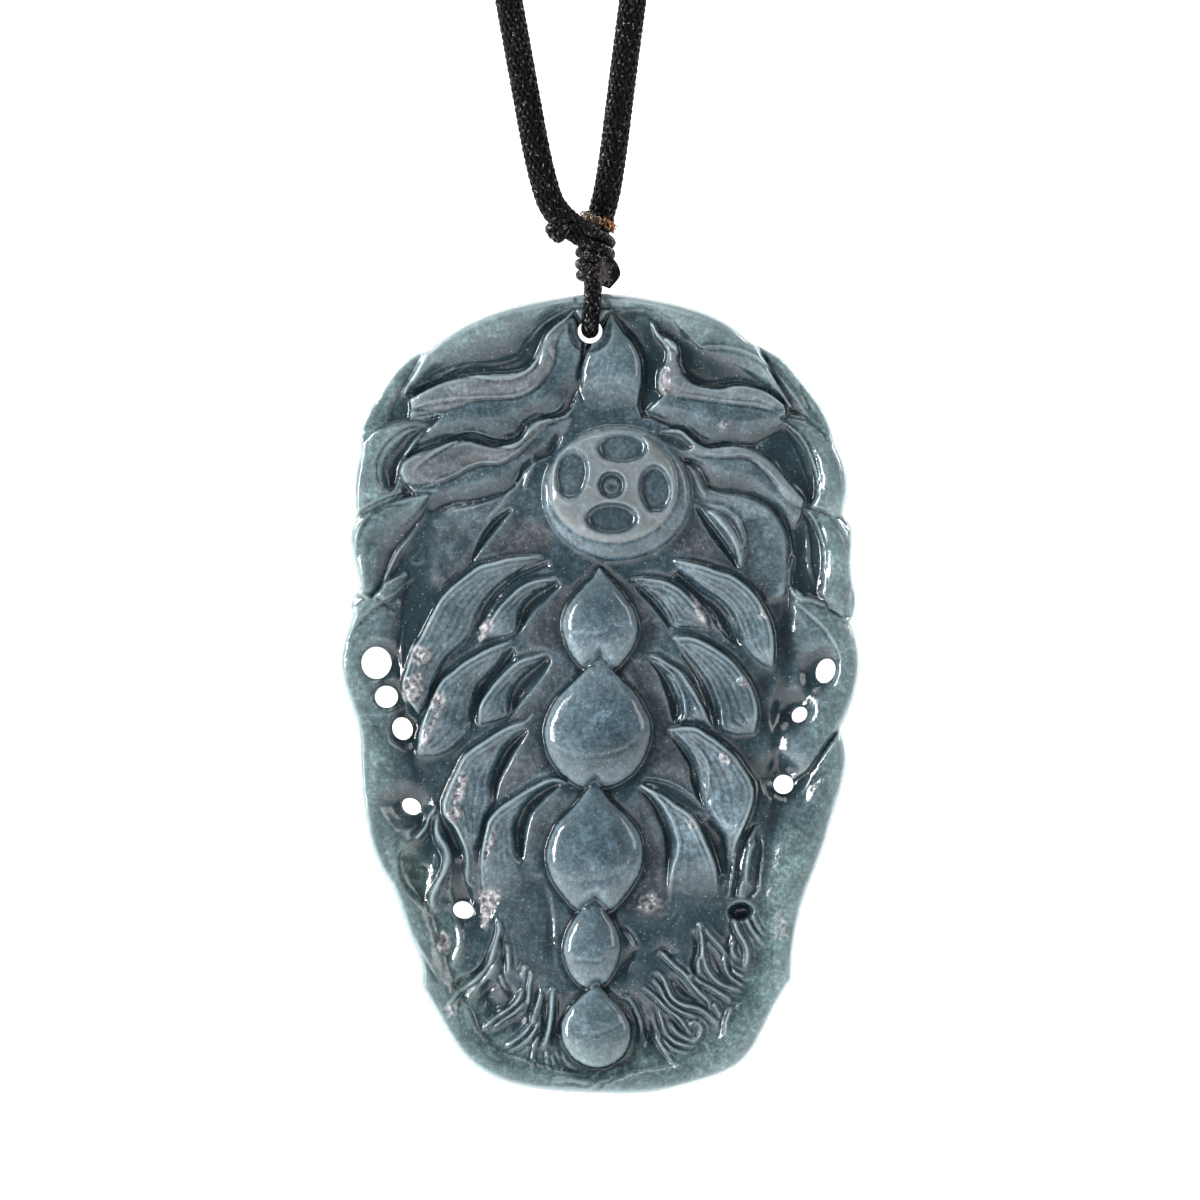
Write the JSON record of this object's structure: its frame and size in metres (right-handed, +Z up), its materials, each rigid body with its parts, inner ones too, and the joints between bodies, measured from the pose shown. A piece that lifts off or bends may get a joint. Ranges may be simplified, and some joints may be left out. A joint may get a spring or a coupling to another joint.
{
  "type": "carved stone pendant necklace on a braided cord",
  "caption": "Carved jadeite plaque that hangs from a knotted bail of thin cord on a looped braided neck cord.",
  "frame": {"origin": "under the top of the neck cord's loop, where the necklace hangs", "axes": "+Z up, the carved face looks along -Y, +X to the right of a viewer who faces the carving"},
  "size_m": [0.1169, 0.008, 0.3682],
  "materials": {
    "jadeite": "polished, slightly translucent",
    "braided_cord": "waxed braid with a soft sheen",
    "metallic_thread": "frayed metallic thread"
  },
  "bodies": {
    "cord": {"neck_cord": "braided_cord", "wrapped_knot": "braided_cord", "bail_loop": "braided_cord", "hitch_turn": "braided_cord", "gold_thread": "metallic_thread"},
    "plaque": {"pendant": "jadeite"}
  },
  "joints": [
    {"name": "pendant_swing", "type": "hinge", "parent": "cord", "child": "plaque", "pos_m": [0.003, 0, -0.28857], "axis": [0, 1, 0], "range_deg": [-10, 10]}
  ]
}
